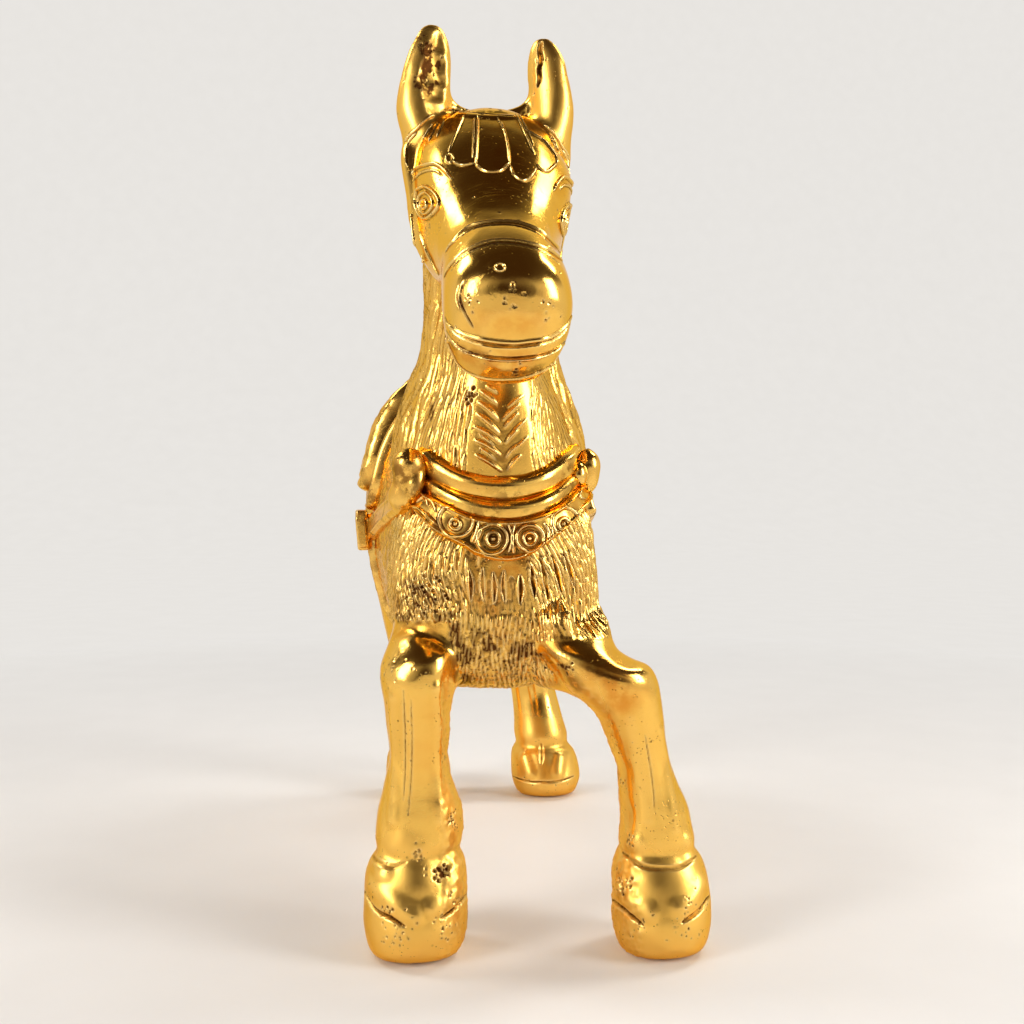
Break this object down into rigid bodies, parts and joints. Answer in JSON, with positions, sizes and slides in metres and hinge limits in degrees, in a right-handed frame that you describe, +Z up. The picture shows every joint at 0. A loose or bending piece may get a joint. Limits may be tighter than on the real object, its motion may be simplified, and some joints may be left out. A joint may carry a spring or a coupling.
{
  "type": "horse figurine",
  "caption": "Standing gilt cast-metal horse figurine with bridle, breast harness, saddle and girth, its surface chased with fine hair strokes.",
  "frame": {"origin": "centre of the bounding box on the flat surface that the four hooves stand on", "axes": "+Z up from the hooves to the tips of the ears, +Y from the head to the tail, so the horse faces -Y and its right side is -X"},
  "size_m": [0.0558, 0.1426, 0.1468],
  "materials": {
    "polished_gilt": "polished gilt brass with small casting pits and rubbing marks",
    "chased_gilt": "gilt brass chased with hair strokes, darker in the strokes"
  },
  "bodies": {
    "root": {"trunk_right": "chased_gilt", "trunk_left": "chased_gilt", "neck": "chased_gilt", "mane": "chased_gilt", "head": "polished_gilt", "ear_right": "polished_gilt", "ear_left": "polished_gilt", "foreleg_right": "polished_gilt", "foreleg_left": "polished_gilt", "hindleg_right": "polished_gilt", "hindleg_left": "polished_gilt", "tail": "chased_gilt", "collar_upper_roll": "polished_gilt", "collar_lower_roll": "polished_gilt", "breast_band": "polished_gilt", "collar_boss_right": "polished_gilt", "collar_boss_left": "polished_gilt", "shoulder_strap_right": "polished_gilt", "shoulder_strap_left": "polished_gilt", "saddle_cloth": "chased_gilt", "saddle": "polished_gilt", "girth": "polished_gilt", "girth_buckle_right": "polished_gilt", "girth_buckle_left": "polished_gilt"}
  },
  "joints": []
}
